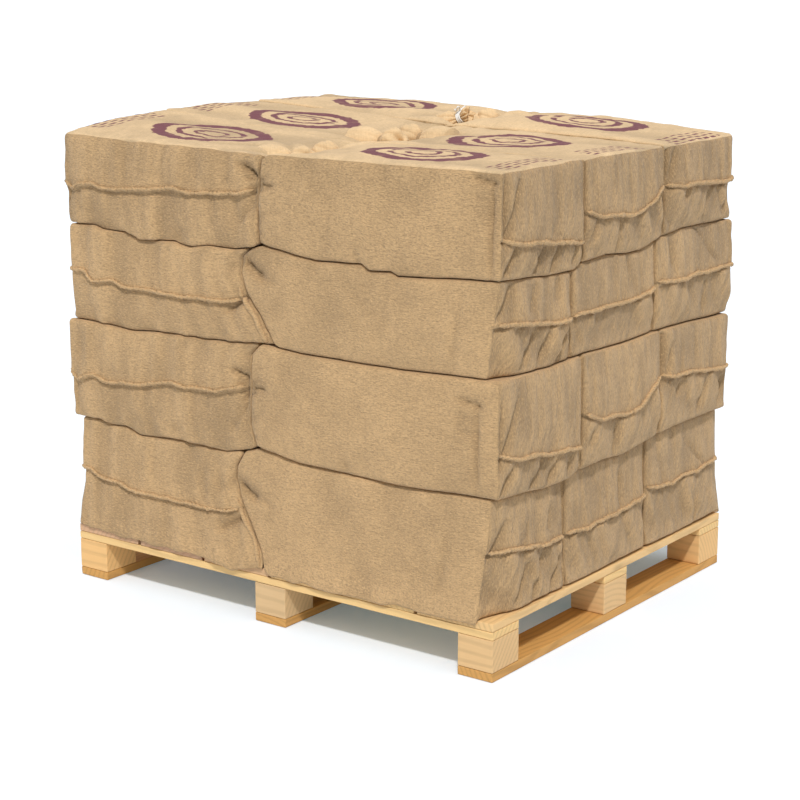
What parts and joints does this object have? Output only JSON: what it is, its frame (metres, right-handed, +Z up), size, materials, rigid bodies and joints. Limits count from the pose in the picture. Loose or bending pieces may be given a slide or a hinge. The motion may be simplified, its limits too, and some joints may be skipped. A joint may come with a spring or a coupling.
{
  "type": "pallet of sacked firewood",
  "caption": "Block pallet stacked with layers of burlap sacks filled with firewood, necks gathered and tied along the middle of the top.",
  "frame": {"origin": "centre of the pallet's underside, on the floor", "axes": "+Z up, +X along the long side of the pallet, -Y towards the side the picture shows most of"},
  "size_m": [1.24, 1.014, 1.1033],
  "materials": {
    "burlap": "matte",
    "tie_string": "matte",
    "deck_wood": "matte",
    "stringer_wood": "matte",
    "block_wood": "matte",
    "runner_wood": "matte"
  },
  "bodies": {
    "root": {"block_left_back": "block_wood", "block_left_front": "block_wood", "block_left_middle": "block_wood", "block_middle_back": "block_wood", "block_middle_front": "block_wood", "block_middle_middle": "block_wood", "block_right_back": "block_wood", "block_right_front": "block_wood", "block_right_middle": "block_wood", "deck_board_1": "deck_wood", "deck_board_2": "deck_wood", "deck_board_3": "deck_wood", "deck_board_4": "deck_wood", "deck_board_5": "deck_wood", "deck_board_6": "deck_wood", "neck_tie_left_back": "tie_string", "neck_tie_left_front": "tie_string", "neck_tie_left_middle": "tie_string", "neck_tie_right_back": "tie_string", "neck_tie_right_front": "tie_string", "neck_tie_right_middle": "tie_string", "runner_left": "runner_wood", "runner_middle": "runner_wood", "runner_right": "runner_wood", "sack_layer1_left_back": "burlap", "sack_layer1_left_front": "burlap", "sack_layer1_left_middle": "burlap", "sack_layer1_right_back": "burlap", "sack_layer1_right_front": "burlap", "sack_layer1_right_middle": "burlap", "sack_layer2_left_back": "burlap", "sack_layer2_left_front": "burlap", "sack_layer2_left_middle": "burlap", "sack_layer2_right_back": "burlap", "sack_layer2_right_front": "burlap", "sack_layer2_right_middle": "burlap", "sack_layer3_left_back": "burlap", "sack_layer3_left_front": "burlap", "sack_layer3_left_middle": "burlap", "sack_layer3_right_back": "burlap", "sack_layer3_right_front": "burlap", "sack_layer3_right_middle": "burlap", "sack_layer4_left_back": "burlap", "sack_layer4_left_front": "burlap", "sack_layer4_left_middle": "burlap", "sack_layer4_right_back": "burlap", "sack_layer4_right_front": "burlap", "sack_layer4_right_middle": "burlap", "stringer_back": "stringer_wood", "stringer_front": "stringer_wood", "stringer_middle": "stringer_wood"}
  },
  "joints": []
}
